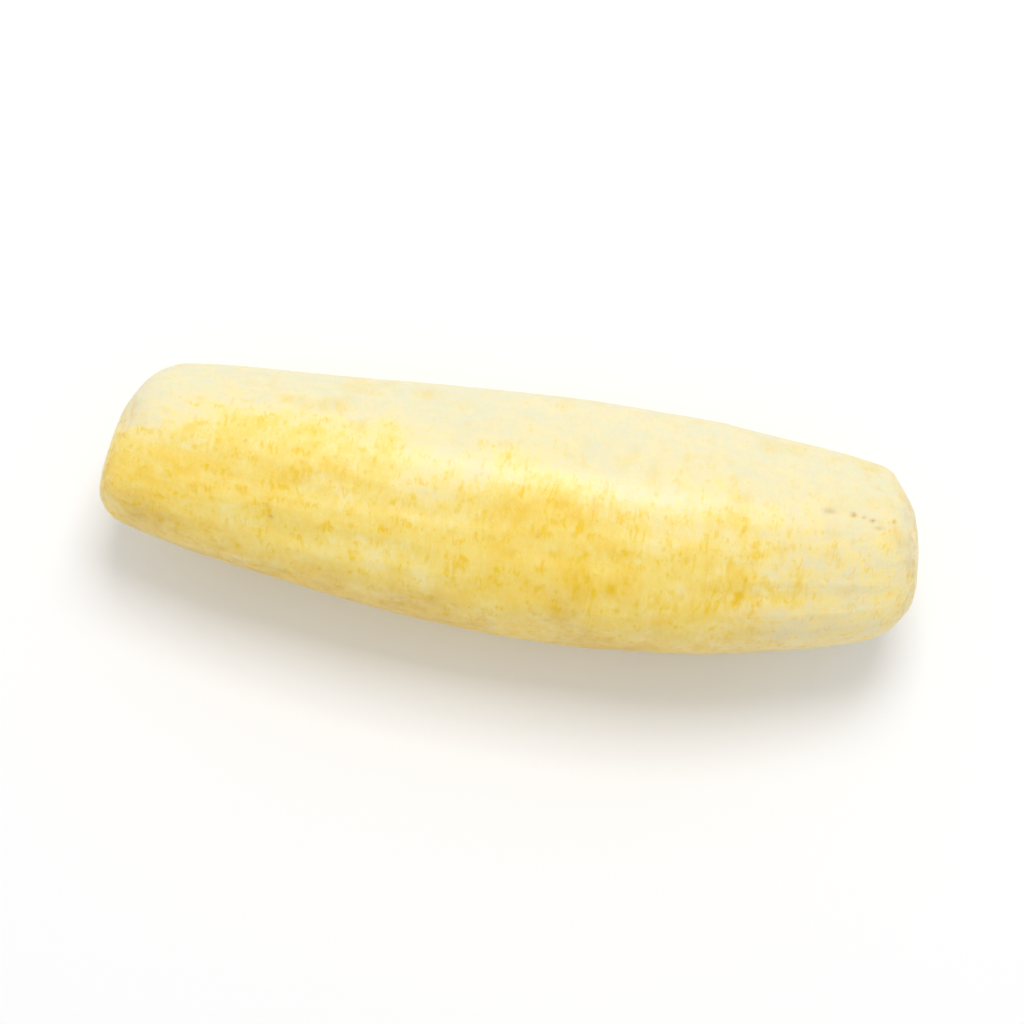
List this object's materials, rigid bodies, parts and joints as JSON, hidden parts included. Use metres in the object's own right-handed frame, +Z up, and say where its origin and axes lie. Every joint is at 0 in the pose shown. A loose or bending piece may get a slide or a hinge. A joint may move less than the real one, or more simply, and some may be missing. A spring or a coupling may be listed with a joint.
{
  "type": "peeled cooking banana",
  "caption": "Whole peeled raw cooking banana, slightly bent, softly ridged, with both ends trimmed flat, lying on its side.",
  "frame": {"origin": "middle of the length and width, on the surface that the flesh lies on", "axes": "+X along the length, towards the end next to the fattest place; the outer side of the bend faces -Y; +Z up"},
  "size_m": [0.12, 0.0366, 0.0343],
  "materials": {
    "banana_flesh": "raw, moist, waxy flesh: cream on the inner side of the bend, warm yellow over the middle, with fine ochre dots and short cross streaks"
  },
  "bodies": {
    "root": {"peeled_banana": "banana_flesh"}
  },
  "joints": []
}
